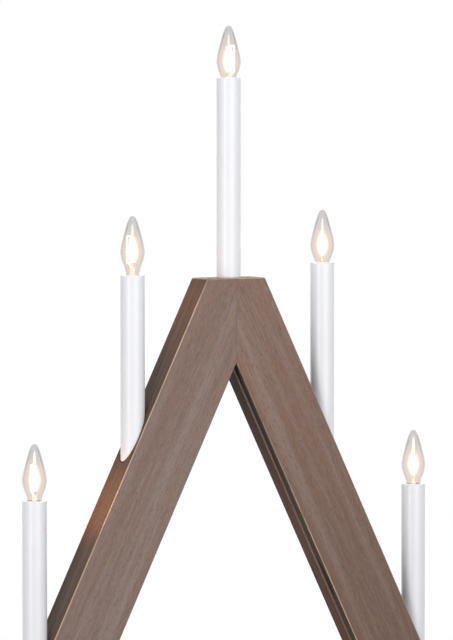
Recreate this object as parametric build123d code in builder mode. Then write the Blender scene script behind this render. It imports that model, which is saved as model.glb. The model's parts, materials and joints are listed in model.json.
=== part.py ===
"""Electric candle arch.

Two boards are mitred into an upside-down V with a flat top and stand on cross feet. Five white
tubes stand upright in stepped bores along the boards. Each tube holds a lampholder, and a
flame-shaped bulb screws into it. Insulated wires join the lampholders in series. They run through
drilled holes and a groove under each board, which a strip closes.

Millimetres and degrees. +X is to the right, +Y to the back and +Z up. The origin is on the floor,
midway between the feet.
"""

import os
from dataclasses import dataclass
from math import asin, cos, degrees, floor, radians, sin, sqrt, tan

from build123d import *

os.makedirs("parts", exist_ok=True)

# Boards
leg_width = 45.0  # across the broad face, square to the board
leg_depth = 21.0  # front to back
leg_height = 345.0  # from the top of the feet to the flat top
leg_lean = 26.4  # degrees from upright
apex_width = 44.2  # the flat top, across both boards
edge_round = 1.0
apex_round = 2.0
bore_gap = 0.05  # around a tube, dowel, screw or bushing in its hole
bore_end_gap = 0.5  # past the end of a dowel or screw in its hole

# Feet
foot_length = 120.0  # front to back
foot_width = 60.0
foot_height = 21.0
foot_round = 2.0  # upright edges
foot_top_round = 1.0
pad_diameter = 18.0
pad_thickness = 2.0
pad_inset = 18.0  # pad centre from the end of the foot
pad_round = 0.4

# Foot screws
screw_diameter = 4.0
screw_head_diameter = 8.0
screw_length = 45.0
screw_point = 5.0  # length of the tapered point
screw_spacing = 20.0
screw_shift_share = 0.25  # of the lean over the screw's length in the board
screw_slot_width = 1.2
screw_slot_length = 4.6
screw_slot_depth = 1.4
countersink_angle = 90.0

# Dowels across the mitre
dowel_diameter = 6.0
dowel_length = 30.0
dowel_chamfer = 0.6
dowel_offset = 5.6  # in front of the middle of the board
dowel_drop = 25.5  # first dowel below the flat top
dowel_spacing = 10.5

# Groove under each board and the strip that closes it
groove_width = 8.6
groove_depth = 10.0
groove_stop = 8.0  # from the end of the groove to the foot, along the board
cover_depth = 3.0  # how far the strip sinks into the groove
cover_proud = 1.4  # how far it stands proud of the board
cover_round = 0.5
cover_gap = 0.05  # beside the strip, and at its mitre

# Candle tubes
low_candle_rise = 95.4  # where the axes of the lowest candles meet the wood, above the feet
candles_per_side = 2
tube_diameter = 16.0
tube_wall = 1.0
tube_length = 150.0
tube_ring_hole = 11.0  # in the turned-in top end
tube_ring_thickness = 1.0
tube_ring_round = 1.0
tube_foot_chamfer = 0.3
tube_hole_round = 0.3  # rounding of the hole's edge

# Depth of each seat below the point where the tube's axis meets the wood
left_low_seat_depth = 42.0
left_mid_seat_depth = 44.2
top_seat_depth = 17.8
right_mid_seat_depth = 38.5
right_low_seat_depth = 43.6

# Depth of each lampholder below the ring of its tube
left_low_holder_drop = 1.8
left_mid_holder_drop = 0.1
top_holder_drop = 4.3
right_mid_holder_drop = 3.7
right_low_holder_drop = 2.1

# Turn of each lit strip about its bulb's axis, in degrees: the side that its rail stands on
left_low_strip_turn = 202.0
left_mid_strip_turn = 149.0
top_strip_turn = -31.0
right_mid_strip_turn = 60.0
right_low_strip_turn = 55.0

# Wire chamber under each tube and the hole from it to the groove
chamber_diameter = 13.0
chamber_depth = 12.0
wire_hole_diameter = 8.0
wire_hole_drop = 7.0  # centre of the hole below the seat

# Wires
wire_diameter = 2.0
wire_bend = 4.0
wire_row = 2.2  # rows of wires behind and in front of the middle of the board
wire_pair_offset = 1.3  # of each wire from the middle of its hole
wire_jog_start = 10.0  # below the tag
wire_jog_length = 30.0
top_wire_offset = 2.2  # of each wire from the middle, below the top candle
splice_diameter = 3.4
splice_length = 10.0
splice_inset = 11.0  # from the end of the groove to the near end of the splice

# Inlet for the supply lead, in the back of the left board
inlet_inset = 5.0  # from the end of the groove to the middle of the inlet
bushing_diameter = 8.0
bushing_bore = 5.6
bushing_flange_diameter = 11.0
bushing_flange_thickness = 1.6
bushing_round = 0.6
bushing_inner_gap = 0.2  # from the bushing's inner end to the groove

# Lampholder
holder_length = 24.0
holder_pocket_depth = 14.1
holder_floor = 3.0
holder_skirt_wall = 1.2
holder_gap = 0.05  # around the lampholder in its tube
tag_thickness = 0.4
tag_width = 1.4
tag_gap = 0.15  # around a tag in its slot
tag_reach = 1.4  # below the lampholder
leaf_width = 2.4
leaf_thickness = 0.4
leaf_overhang = 1.8  # of the leaf past the axis
leaf_foot = 1.4  # flat length on the floor beside the tag
leaf_gap = 0.05  # between the leaf and the solder button

# Screw shell and thread, whose turns are drawn as rings
shell_drop = 1.8  # below the top of the lampholder
shell_length = 10.0
shell_wall = 0.45
shell_gap = 0.05  # around the shell in its pocket
thread_diameter = 9.5
thread_pitch = 1.814
cap_ridge_height = 0.45  # above the cap's barrel
cap_ridge_round = 0.55  # radius of each ridge
thread_clearance = 0.2  # between the ridges and the shell

# Bulb cap and base
cap_drop = 0.6  # below the lamp's datum
cap_wall = 0.35
collar_height = 2.0
collar_diameter = 9.1
cap_thread_length = 8.0
cap_lip = 0.6
cap_hole_diameter = 5.0
base_height = 1.5
base_diameter = 7.2
button_diameter = 3.8
button_height = 0.75
button_stem_diameter = 2.0
button_gap = 0.05  # between the button and the insulator

# Bulb glass
bulb_diameter = 16.0
bulb_height = 38.5  # above the lamp's datum
bulb_wall = 0.7
bulb_tip_radius = 2.3
bulb_tip_taper = 22.0  # degrees from upright where the round tip starts
bulb_neck_gap = 0.1  # around the neck in the collar

# Half width of the glass as a share of its widest, by share of its height above the datum
bulb_outline_shares = (
    (0.03, 0.555),
    (0.10, 0.625),
    (0.17, 0.73),
    (0.25, 0.88),
    (0.375, 1.00),
    (0.50, 0.925),
    (0.65, 0.745),
    (0.79, 0.56),
    (0.88, 0.43),
)

# Mount and lit strip inside the glass
stem_flare_height = 0.6
stem_neck_rise = 0.8  # top of the flare's cone above the datum
stem_neck_diameter = 3.2
stem_rise = 3.4  # shoulder of the pinch above the datum
pinch_width = 3.4
pinch_thickness = 1.4
pinch_height = 2.0
stem_gap = 0.08  # around the flare in the neck
lead_diameter = 0.6
lead_length = 2.0
lead_spacing = 2.2
strip_width = 3.0
strip_thickness = 1.6
strip_height = 17.8
strip_round = 0.3
rail_diameter = 0.9  # the wire beside the strip, which carries its upper end
rail_offset = 3.6  # from the axis to the rail
rail_bend = 0.7
rail_foot_rise = 0.35  # straight length at the rail's foot
rail_slope_rise = 2.5  # height over which the rail swings outwards

# One overrun for all cuts that run out of the wood
overrun = 5.0

# Worked out from the sizes above
lean = radians(leg_lean)
apex_half = apex_width / 2
foot_top_z = pad_thickness + foot_height
apex_z = foot_top_z + leg_height
leg_slice = leg_width / cos(lean)  # level width of a board
crotch_z = apex_z - (leg_slice - apex_half) / tan(lean)
toe_x = apex_half + leg_height * tan(lean)
heel_x = toe_x - leg_slice
under_length = (crotch_z - foot_top_z) / cos(lean)
groove_end = under_length - groove_stop
wire_inward = (cover_depth + groove_depth) / 2
foot_x = toe_x - leg_slice / 2
low_candle_x = apex_half + (leg_height - low_candle_rise) * tan(lean)
candle_spacing = low_candle_x / candles_per_side  # between neighbouring candles, level
screw_bite = screw_length - foot_height
screw_x = foot_x - screw_shift_share * screw_bite * tan(lean)
tube_radius = tube_diameter / 2
bore_radius = tube_radius + bore_gap
cap_ridge_radius = thread_diameter / 2 - cap_ridge_round
barrel_radius = thread_diameter / 2 - cap_ridge_height
shell_bore_radius = thread_diameter / 2 + thread_clearance
shell_radius = shell_bore_radius + shell_wall
pocket_radius = shell_radius + shell_gap
holder_radius = tube_radius - tube_wall - holder_gap
tag_radius = (shell_bore_radius + shell_radius) / 2
tag_angle = degrees(asin(wire_row / tag_radius))
tag_offset = sqrt(tag_radius**2 - wire_row**2)

# Heights from a lamp's datum, which is the top of a tube whose lampholder touches its ring
holder_top = -tube_ring_thickness
pocket_floor = holder_top - holder_pocket_depth
holder_floor_under = pocket_floor - holder_floor
holder_end = holder_top - holder_length
tag_end = holder_end - tag_reach
shell_top = holder_top - shell_drop
shell_end = shell_top - shell_length
cap_top = -cap_drop
collar_end = cap_top - collar_height
cap_thread_end = collar_end - cap_thread_length
cap_end = cap_thread_end - cap_lip
base_end = cap_end - base_height
button_end = base_end - button_height
neck_radius = collar_diameter / 2 - cap_wall - bulb_neck_gap
pinch_top = stem_rise + pinch_height
strip_foot = pinch_top + lead_length
strip_top = strip_foot + strip_height


@dataclass(frozen=True)
class Candle:
    """One candle: its board (-1 left, 0 both, 1 right), its place from the middle and its seat."""

    name: str
    side: int
    place: int
    seat_depth: float
    holder_drop: float
    strip_turn: float

    @property
    def x(self):
        """Distance of the axis from the middle of the arch."""
        return self.side * self.place * candle_spacing

    @property
    def face_z(self):
        """Height where the axis meets the wood."""
        if self.side == 0:
            return apex_z
        return apex_z - (abs(self.x) - apex_half) / tan(lean)

    @property
    def mouth_z(self):
        """Height from which a bore is cut."""
        return min(self.face_z + bore_radius / tan(lean), apex_z) + overrun

    @property
    def seat_z(self):
        """Height of the shoulder that the tube stands on."""
        return self.face_z - self.seat_depth

    @property
    def rim_z(self):
        """Height of the top of the tube."""
        return self.seat_z + tube_length

    @property
    def lamp_z(self):
        """Height of the lamp's datum."""
        return self.rim_z - self.holder_drop

    @property
    def axis(self):
        """Upright axis through the top of the tube."""
        return Axis((self.x, 0, self.rim_z), (0, 0, 1))

    @property
    def tube_plane(self):
        """Upright plane through the axis: its x is radial, its y is up from the top of the tube."""
        return Plane(origin=(self.x, 0, self.rim_z), x_dir=(1, 0, 0), z_dir=(0, -1, 0))

    def profile_plane(self, turn=0.0):
        """Upright plane through the axis: its x is radial, its y is up from the lamp's datum."""
        angle = radians(turn)
        return Plane(
            origin=(self.x, 0, self.lamp_z),
            x_dir=(cos(angle), sin(angle), 0),
            z_dir=(sin(angle), -cos(angle), 0),
        )

    def level_plane(self, height, turn=0.0):
        """Level plane at a height above the lamp's datum."""
        angle = radians(turn)
        return Plane(
            origin=(self.x, 0, self.lamp_z + height),
            x_dir=(cos(angle), sin(angle), 0),
            z_dir=(0, 0, 1),
        )

    @property
    def wire_hole_along(self):
        """Place of the wire hole, measured down the board from the crotch."""
        return along_leg(abs(self.x), self.seat_z - wire_hole_drop)

    def wire_end(self, slot, row):
        """Wire route from a tag to the groove: slot -1 is the upper wire, 1 the lower one."""
        along = self.wire_hole_along + slot * wire_pair_offset
        x = abs(self.x) + slot * tag_offset
        inward = (x - along * sin(lean)) / cos(lean)
        tag = (self.side * x, wire_row, self.lamp_z + tag_end)
        return [tag, on_leg(self.side, along, inward, row), on_leg(self.side, along, wire_inward, row)]


def on_leg(side, along, inward, y=0.0):
    """Point on a board: along runs down its under face from the crotch, inward goes into the wood."""
    x = along * sin(lean) + inward * cos(lean)
    z = crotch_z - along * cos(lean) + inward * sin(lean)
    return (side * x, y, z)


def along_leg(x, z):
    """Distance down the under face, from the crotch, of the foot of the square from a point."""
    return x * sin(lean) - (z - crotch_z) * cos(lean)


def under_plane(side, along):
    """Plane on a board's under face, facing into the wood, with its x to the back."""
    normal = (side * cos(lean), 0, sin(lean))
    return Plane(origin=on_leg(side, along, 0), x_dir=(0, 1, 0), z_dir=normal)


def save(piece, name):
    """Label a finished piece and write its file."""
    piece.part.label = name
    export_step(piece.part, f"parts/{name}.step")


left_low = Candle("left_low", -1, 2, left_low_seat_depth, left_low_holder_drop, left_low_strip_turn)
left_mid = Candle("left_mid", -1, 1, left_mid_seat_depth, left_mid_holder_drop, left_mid_strip_turn)
top = Candle("top", 0, 0, top_seat_depth, top_holder_drop, top_strip_turn)
right_mid = Candle("right_mid", 1, 1, right_mid_seat_depth, right_mid_holder_drop, right_mid_strip_turn)
right_low = Candle("right_low", 1, 2, right_low_seat_depth, right_low_holder_drop, right_low_strip_turn)
candles = (left_low, left_mid, top, right_mid, right_low)
sides = {"left": -1, "right": 1}

screw_offsets = (-screw_spacing / 2, screw_spacing / 2)
screw_places = {side: [side * screw_x + offset for offset in screw_offsets] for side in sides.values()}
dowel_heights = [apex_z - dowel_drop - step * dowel_spacing for step in range(2)]
inlet_along = groove_end - inlet_inset
inlet = on_leg(sides["left"], inlet_along, wire_inward, leg_depth / 2)
splice_along = groove_end - splice_inset - splice_length

# Boards
for side_name, side in sides.items():
    with BuildPart() as leg:
        with BuildSketch(Plane.XZ):
            with BuildLine():
                Polyline(
                    (0, crotch_z),
                    (0, apex_z),
                    (side * apex_half, apex_z),
                    (side * toe_x, foot_top_z),
                    (side * heel_x, foot_top_z),
                    close=True,
                )
            make_face()
        extrude(amount=leg_depth / 2, both=True)
        shoulder = leg.edges().filter_by(Axis.Y).sort_by_distance((side * apex_half, 0, apex_z))[0]
        fillet(shoulder, apex_round)
        outline = leg.faces().filter_by(Axis.Y).edges()
        long_edges = outline.filter_by(
            lambda edge: abs(edge.center().X) > edge_round and edge.center().Z > foot_top_z + edge_round
        )
        fillet(long_edges, edge_round)

        # Groove along the under face, run out past the mitre
        groove_start = -groove_depth / tan(lean) - overrun
        with BuildSketch(under_plane(side, (groove_start + groove_end) / 2)):
            Rectangle(groove_width, groove_end - groove_start)
        extrude(amount=groove_depth, mode=Mode.SUBTRACT)

        # Stepped bores for the tubes, with a wire hole from each chamber to the groove
        for candle in candles:
            if candle.side == -side:
                continue
            bore_depth = candle.mouth_z - candle.seat_z
            with Locations((candle.x, 0, candle.mouth_z)):
                Hole(bore_radius, depth=bore_depth)
            if candle.side == 0:
                continue
            with Locations((candle.x, 0, candle.mouth_z)):
                Hole(chamber_diameter / 2, depth=bore_depth + chamber_depth)
            hole_reach = abs(candle.x) * cos(lean) + (candle.seat_z - wire_hole_drop - crotch_z) * sin(lean)
            with BuildSketch(under_plane(side, candle.wire_hole_along)):
                Circle(wire_hole_diameter / 2)
            extrude(amount=hole_reach, mode=Mode.SUBTRACT)

        # Wire hole from the top seat down to the meeting grooves
        with Locations((0, wire_row, top.seat_z)):
            Hole(wire_hole_diameter / 2, depth=top.seat_z - crotch_z)

        for height in dowel_heights:
            with Locations(Plane(origin=(0, -dowel_offset, height), z_dir=(-side, 0, 0))):
                Hole(dowel_diameter / 2 + bore_gap, depth=dowel_length / 2 + bore_end_gap)
        for x in screw_places[side]:
            with Locations(Plane(origin=(x, 0, foot_top_z), z_dir=(0, 0, -1))):
                Hole(screw_diameter / 2 + bore_gap, depth=screw_bite + bore_end_gap)
        if side_name == "left":
            with Locations(Plane(origin=inlet, z_dir=(0, 1, 0))):
                Hole(bushing_diameter / 2 + bore_gap, depth=leg_depth / 2)
    save(leg, f"{side_name}_leg")

    # Strip that closes the groove, mitred against the other one
    with BuildPart() as cover:
        mitre_x = cover_gap / 2
        under_start = (mitre_x + cover_proud * cos(lean)) / sin(lean)
        inner_start = (mitre_x - cover_depth * cos(lean)) / sin(lean)
        corners = [
            on_leg(side, under_start, -cover_proud),
            on_leg(side, inner_start, cover_depth),
            on_leg(side, groove_end - cover_gap, cover_depth),
            on_leg(side, groove_end - cover_gap, -cover_proud),
        ]
        with BuildSketch(Plane.XZ):
            with BuildLine():
                Polyline(*[(x, z) for x, _, z in corners], close=True)
            make_face()
        extrude(amount=groove_width / 2 - cover_gap, both=True)
        under_face = cover.faces().sort_by_distance(on_leg(side, groove_end / 2, -cover_proud))[0]
        fillet(under_face.edges().group_by(SortBy.LENGTH)[-1], cover_round)
    save(cover, f"{side_name}_cable_cover")

    # Cross foot with two countersunk holes
    with BuildPart() as foot:
        with BuildSketch(Plane.XY.offset(pad_thickness)):
            with Locations((side * foot_x, 0)):
                RectangleRounded(foot_width, foot_length, foot_round)
        extrude(amount=foot_height)
        fillet(foot.faces().sort_by(Axis.Z)[-1].edges(), foot_top_round)
        for x in screw_places[side]:
            with Locations(Plane(origin=(x, 0, pad_thickness), z_dir=(0, 0, -1))):
                CounterSinkHole(
                    screw_diameter / 2 + bore_gap,
                    screw_head_diameter / 2 + bore_gap,
                    counter_sink_angle=countersink_angle,
                )
    save(foot, f"{side_name}_foot")

# Felt pads under the feet
with BuildPart() as felt_pads:
    pad_y = foot_length / 2 - pad_inset
    with BuildSketch():
        with GridLocations(2 * foot_x, 2 * pad_y, 2, 2):
            Circle(pad_diameter / 2)
    extrude(amount=pad_thickness)
    fillet(felt_pads.edges().group_by(Axis.Z)[0], pad_round)
save(felt_pads, "felt_pads")

# Countersunk screws, up through the feet into the boards
with BuildPart() as foot_screws:
    head_height = (screw_head_diameter - screw_diameter) / 2 / tan(radians(countersink_angle / 2))
    for x in screw_places[-1] + screw_places[1]:
        with BuildSketch(Plane(origin=(x, 0, pad_thickness), x_dir=(1, 0, 0), z_dir=(0, -1, 0))):
            with BuildLine():
                Polyline(
                    (0, 0),
                    (screw_head_diameter / 2, 0),
                    (screw_diameter / 2, head_height),
                    (screw_diameter / 2, screw_length - screw_point),
                    (0, screw_length),
                    close=True,
                )
            make_face()
        revolve(axis=Axis((x, 0, pad_thickness), (0, 0, 1)))
        with BuildSketch(Plane((x, 0, pad_thickness))):
            Rectangle(screw_slot_length, screw_slot_width)
            Rectangle(screw_slot_width, screw_slot_length)
        extrude(amount=screw_slot_depth, mode=Mode.SUBTRACT)
save(foot_screws, "foot_screws")

# Dowels across the mitre
with BuildPart() as mitre_dowels:
    for height in dowel_heights:
        with BuildSketch(Plane(origin=(0, -dowel_offset, height), z_dir=(1, 0, 0))):
            Circle(dowel_diameter / 2)
        extrude(amount=dowel_length / 2, both=True)
    chamfer(mitre_dowels.edges().filter_by(GeomType.CIRCLE), dowel_chamfer)
save(mitre_dowels, "mitre_dowels")

# Bushing for the supply lead
with BuildPart() as cord_bushing:
    barrel_length = leg_depth / 2 - groove_width / 2 - bushing_inner_gap
    with BuildSketch(Plane(origin=inlet, z_dir=(0, 1, 0))):
        Circle(bushing_flange_diameter / 2)
    extrude(amount=bushing_flange_thickness)
    fillet(cord_bushing.edges().sort_by(Axis.Y)[-1], bushing_round)
    with BuildSketch(Plane(origin=inlet, z_dir=(0, -1, 0))):
        Circle(bushing_diameter / 2)
    extrude(amount=barrel_length)
    with Locations(Plane(origin=inlet, z_dir=(0, 1, 0))):
        Hole(bushing_bore / 2)
save(cord_bushing, "cord_bushing")


def wire_section(path):
    """Plane square to the start of a route."""
    return Plane(origin=path.line @ 0, z_dir=path.line % 0)


# Wires between the lampholders, from the left low candle to the right low one
top_jog_z = top.lamp_z + tag_end - wire_jog_start
top_exit_along = (top_wire_offset - wire_inward * cos(lean)) / sin(lean)


def top_wire_end(side):
    """Wire route from a tag of the top candle to the groove of one board."""
    return [
        (side * tag_offset, wire_row, top.lamp_z + tag_end),
        (side * tag_offset, wire_row, top_jog_z),
        (side * top_wire_offset, wire_row, top_jog_z - wire_jog_length),
        on_leg(side, top_exit_along, wire_inward, wire_row),
    ]


series_routes = (
    left_low.wire_end(-1, wire_row) + left_mid.wire_end(1, wire_row)[::-1],
    left_mid.wire_end(-1, wire_row) + top_wire_end(-1)[::-1],
    top_wire_end(1) + right_mid.wire_end(-1, wire_row)[::-1],
    right_mid.wire_end(1, wire_row) + right_low.wire_end(-1, wire_row)[::-1],
)
with BuildPart() as series_wires:
    for route in series_routes:
        with BuildLine() as path:
            FilletPolyline(*route, radius=wire_bend)
        with BuildSketch(wire_section(path)):
            Circle(wire_diameter / 2)
        sweep()
save(series_wires, "series_wires")

# Supply wire from the lower tag of the left low candle to its splice
supply_route = left_low.wire_end(1, wire_row) + [on_leg(-1, splice_along, wire_inward, wire_row)]
with BuildPart() as supply_wire:
    with BuildLine() as path:
        FilletPolyline(*supply_route, radius=wire_bend)
    with BuildSketch(wire_section(path)):
        Circle(wire_diameter / 2)
    sweep()
save(supply_wire, "supply_wire")

# Return wire from the right low candle, over the apex and down to its splice, in the front row
return_tag, return_turn, return_groove = right_low.wire_end(1, -wire_row)
return_x, _, return_tag_z = return_tag
return_jog_z = return_tag_z - wire_jog_start
return_crest = (0, -wire_row, crotch_z + wire_inward / sin(lean))
return_route = [
    return_tag,
    (return_x, wire_row, return_jog_z),
    (return_x, -wire_row, return_jog_z - wire_jog_length),
    return_turn,
    return_groove,
    return_crest,
    on_leg(-1, splice_along, wire_inward, -wire_row),
]
with BuildPart() as return_wire:
    with BuildLine() as path:
        FilletPolyline(*return_route, radius=wire_bend)
    with BuildSketch(wire_section(path)):
        Circle(wire_diameter / 2)
    sweep()
save(return_wire, "return_wire")

# Crimp splices at the ends of the supply and return wires
with BuildPart() as crimp_splices:
    for row in (-wire_row, wire_row):
        start = on_leg(-1, splice_along, wire_inward, row)
        down_leg = (-sin(lean), 0, -cos(lean))
        with BuildSketch(Plane(origin=start, x_dir=(0, 1, 0), z_dir=down_leg)):
            Circle(splice_diameter / 2)
        extrude(amount=splice_length)
save(crimp_splices, "crimp_splices")

# Rings of the cap's thread
cap_ridge_count = floor((cap_thread_length - 2 * cap_ridge_round) / thread_pitch) + 1
cap_ridge_middle = (collar_end + cap_thread_end) / 2


def glass_points(inset):
    """Half outline of the glass up to its round tip, drawn in from the outside by an inset."""
    points = [(neck_radius - inset, cap_top)]
    points += [
        (width_share * bulb_diameter / 2 - inset, height_share * bulb_height)
        for height_share, width_share in bulb_outline_shares
    ]
    points.append(tip_point(inset, bulb_tip_taper))
    return points


def tip_point(inset, angle):
    """Point on the round tip, by its angle above level."""
    radius = bulb_tip_radius - inset
    tip_centre = bulb_height - bulb_tip_radius
    return (radius * cos(radians(angle)), tip_centre + radius * sin(radians(angle)))


# Candles
for candle in candles:
    with BuildPart() as candle_tube:
        with BuildSketch(candle.tube_plane):
            with BuildLine():
                Polyline(
                    (tube_ring_hole / 2, 0),
                    (tube_radius, 0),
                    (tube_radius, -tube_length),
                    (tube_radius - tube_wall, -tube_length),
                    (tube_radius - tube_wall, -tube_ring_thickness),
                    (tube_ring_hole / 2, -tube_ring_thickness),
                    close=True,
                )
            make_face()
        revolve(axis=candle.axis)
        rim_edges = candle_tube.edges().group_by(Axis.Z)[-1].sort_by(SortBy.RADIUS)
        fillet(rim_edges[-1], tube_ring_round)
        fillet(rim_edges[0], tube_hole_round)
        foot_edges = candle_tube.edges().group_by(Axis.Z)[0].sort_by(SortBy.RADIUS)
        chamfer(foot_edges[-1], tube_foot_chamfer)
    save(candle_tube, f"{candle.name}_candle_tube")

    with BuildPart() as lampholder:
        with BuildSketch(candle.profile_plane()):
            with BuildLine():
                Polyline(
                    (pocket_radius, holder_top),
                    (holder_radius, holder_top),
                    (holder_radius, holder_end),
                    (holder_radius - holder_skirt_wall, holder_end),
                    (holder_radius - holder_skirt_wall, holder_floor_under),
                    (0, holder_floor_under),
                    (0, pocket_floor),
                    (pocket_radius, pocket_floor),
                    close=True,
                )
            make_face()
        revolve(axis=candle.axis)
        with BuildSketch(candle.level_plane(pocket_floor)):
            with PolarLocations(tag_radius, 2, tag_angle, 180 - 2 * tag_angle, endpoint=True):
                Rectangle(tag_thickness + 2 * tag_gap, tag_width + 2 * tag_gap)
        extrude(amount=-holder_floor, mode=Mode.SUBTRACT)
    save(lampholder, f"{candle.name}_lampholder")

    with BuildPart() as screw_shell:
        with BuildSketch(candle.level_plane(shell_end)):
            Circle(shell_radius)
            Circle(shell_bore_radius, mode=Mode.SUBTRACT)
        extrude(amount=shell_length)
        with BuildSketch(candle.level_plane(shell_end)):
            with PolarLocations(tag_radius, 1, tag_angle):
                Rectangle(tag_thickness, tag_width)
        extrude(amount=tag_end - shell_end)
    save(screw_shell, f"{candle.name}_screw_shell")

    with BuildPart() as centre_contact:
        leaf_base = pocket_floor + leaf_thickness / 2
        leaf_top = button_end - leaf_gap - leaf_thickness / 2
        foot_reach = tag_radius - leaf_foot
        with BuildSketch(candle.profile_plane(180 - tag_angle)):
            with BuildLine():
                Polyline(
                    (tag_radius, leaf_base),
                    (foot_reach, leaf_base),
                    (button_diameter / 2, leaf_top),
                    (-leaf_overhang, leaf_top),
                )
            trace(line_width=leaf_thickness)
        extrude(amount=leaf_width / 2, both=True)
        with BuildSketch(candle.level_plane(pocket_floor, 180 - tag_angle)):
            with Locations((tag_radius, 0)):
                Rectangle(tag_thickness, tag_width)
        extrude(amount=tag_end - pocket_floor)
    save(centre_contact, f"{candle.name}_centre_contact")

    with BuildPart() as bulb_cap:
        with BuildSketch(candle.profile_plane()):
            with BuildLine():
                Polyline(
                    (collar_diameter / 2 - cap_wall, cap_top),
                    (collar_diameter / 2, cap_top),
                    (collar_diameter / 2, collar_end),
                    (barrel_radius, collar_end),
                    (barrel_radius, cap_thread_end),
                    (base_diameter / 2, cap_end),
                    (cap_hole_diameter / 2, cap_end),
                    (cap_hole_diameter / 2, cap_thread_end),
                    (barrel_radius - cap_wall, cap_thread_end),
                    (barrel_radius - cap_wall, collar_end),
                    (collar_diameter / 2 - cap_wall, collar_end),
                    close=True,
                )
            make_face()
        revolve(axis=candle.axis)
        with BuildSketch(candle.profile_plane()):
            with Locations((cap_ridge_radius, cap_ridge_middle)):
                with GridLocations(thread_pitch, thread_pitch, 1, cap_ridge_count):
                    Circle(cap_ridge_round)
        revolve(axis=candle.axis)
        with BuildSketch(candle.level_plane(cap_thread_end)):
            Circle(barrel_radius - cap_wall)
        extrude(amount=cap_thread_length, mode=Mode.SUBTRACT)
    save(bulb_cap, f"{candle.name}_bulb_cap")

    # Insulator under the cap, and the solder button through it, as two solids
    with BuildPart() as bulb_base:
        with BuildSketch(candle.profile_plane()):
            with BuildLine():
                Polyline(
                    (button_stem_diameter / 2 + button_gap, cap_end),
                    (base_diameter / 2, cap_end),
                    (button_diameter / 2, base_end + button_gap),
                    (button_stem_diameter / 2 + button_gap, base_end + button_gap),
                    close=True,
                )
            make_face()
        revolve(axis=candle.axis)
        with BuildSketch(candle.profile_plane()):
            with BuildLine():
                Polyline(
                    (0, button_end),
                    (0, cap_end),
                    (button_stem_diameter / 2, cap_end),
                    (button_stem_diameter / 2, base_end),
                    (button_diameter / 2, base_end),
                )
                EllipticalCenterArc(
                    (0, base_end),
                    button_diameter / 2,
                    button_height,
                    start_angle=270,
                    arc_size=90,
                )
            make_face()
        revolve(axis=candle.axis)
    save(bulb_base, f"{candle.name}_bulb_base")

    with BuildPart() as bulb_glass:
        with BuildSketch(candle.profile_plane()):
            with BuildLine():
                tip_middle = (90 + bulb_tip_taper) / 2
                tip_slope = (-sin(radians(bulb_tip_taper)), cos(radians(bulb_tip_taper)))
                for inset in (0, bulb_wall):
                    outline = glass_points(inset)
                    Spline(*outline, tangents=((0, 1), tip_slope))
                    ThreePointArc(outline[-1], tip_point(inset, tip_middle), tip_point(inset, 90))
                    Line(outline[0], (neck_radius - inset, collar_end))
                Line(tip_point(0, 90), tip_point(bulb_wall, 90))
                Line((neck_radius, collar_end), (neck_radius - bulb_wall, collar_end))
            make_face()
        revolve(axis=candle.axis)
    save(bulb_glass, f"{candle.name}_bulb_glass")

    with BuildPart() as bulb_stem:
        flare_radius = neck_radius - bulb_wall - stem_gap
        with BuildSketch(candle.profile_plane()):
            with BuildLine():
                Polyline(
                    (0, collar_end),
                    (flare_radius, collar_end),
                    (flare_radius, collar_end + stem_flare_height),
                    (stem_neck_diameter / 2, stem_neck_rise),
                    (stem_neck_diameter / 2, stem_rise),
                    (0, stem_rise),
                    close=True,
                )
            make_face()
        revolve(axis=candle.axis)
        with BuildSketch(candle.level_plane(stem_rise, candle.strip_turn)):
            Rectangle(pinch_width, pinch_thickness)
        extrude(amount=pinch_height)
    save(bulb_stem, f"{candle.name}_bulb_stem")

    # Lit strip on one straight lead, and a rail from the other lead to its upper end
    with BuildPart() as led_filament:
        with BuildSketch(candle.level_plane(strip_foot, candle.strip_turn)):
            Rectangle(strip_width, strip_thickness)
        extrude(amount=strip_height)
        fillet(led_filament.edges(), strip_round)
        with BuildSketch(candle.level_plane(pinch_top, candle.strip_turn)):
            with Locations((-lead_spacing / 2, 0)):
                Circle(lead_diameter / 2)
        extrude(amount=lead_length + strip_round)
        rail_foot = pinch_top + rail_foot_rise
        with BuildLine(candle.profile_plane(candle.strip_turn)) as path:
            FilletPolyline(
                (lead_spacing / 2, pinch_top),
                (lead_spacing / 2, rail_foot),
                (rail_offset, rail_foot + rail_slope_rise),
                (rail_offset, strip_top),
                (0, strip_top),
                radius=rail_bend,
            )
        with BuildSketch(wire_section(path)):
            Circle(rail_diameter / 2)
        sweep()
    save(led_filament, f"{candle.name}_led_filament")
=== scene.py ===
"""Looks for an electric candle arch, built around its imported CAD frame.

The boards, feet and hidden fittings keep their CAD shapes and get procedural finishes. The candle
tubes, the bulbs and the felt pads are modelled here and stand for their CAD nodes. Metres and
degrees, in the frame of the part: +X to the right, +Y to the back, +Z up.
"""

import json
import logging
import math
from dataclasses import dataclass, field
from enum import Enum
from typing import ClassVar, Dict, List, Sequence, Tuple

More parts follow.
